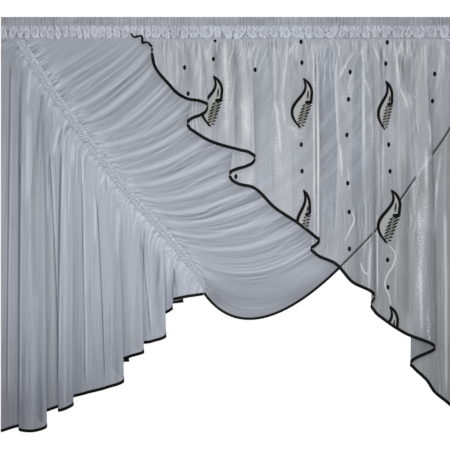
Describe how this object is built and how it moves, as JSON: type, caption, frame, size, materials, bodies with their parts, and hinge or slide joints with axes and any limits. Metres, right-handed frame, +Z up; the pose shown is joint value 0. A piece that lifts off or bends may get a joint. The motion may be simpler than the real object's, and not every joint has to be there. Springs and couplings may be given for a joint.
{
  "type": "voile curtain",
  "caption": "Draped voile curtain with a gathered heading, a plain swag and tail, a sheer embroidered front panel and satin-bound hems.",
  "frame": {"origin": "middle of the top edge of the heading, where the curtain is held", "axes": "+X along the width, to the right as seen from the front; +Z up; the front faces -Y"},
  "size_m": [1.7352, 0.0853, 1.5116],
  "materials": {
    "plain_voile": "thin matt voile with a slight sheen",
    "sheer_satin": "sheer satin organza, embroidered",
    "heading_tape": "gathered curtain tape",
    "black_satin": "black satin bias binding"
  },
  "bodies": {
    "root": {"heading": "heading_tape", "tail_panel": "plain_voile", "swag_panel": "plain_voile", "front_panel": "sheer_satin", "seam_tape": "heading_tape", "tail_binding": "black_satin", "swag_binding": "black_satin", "front_binding": "black_satin"}
  },
  "joints": []
}
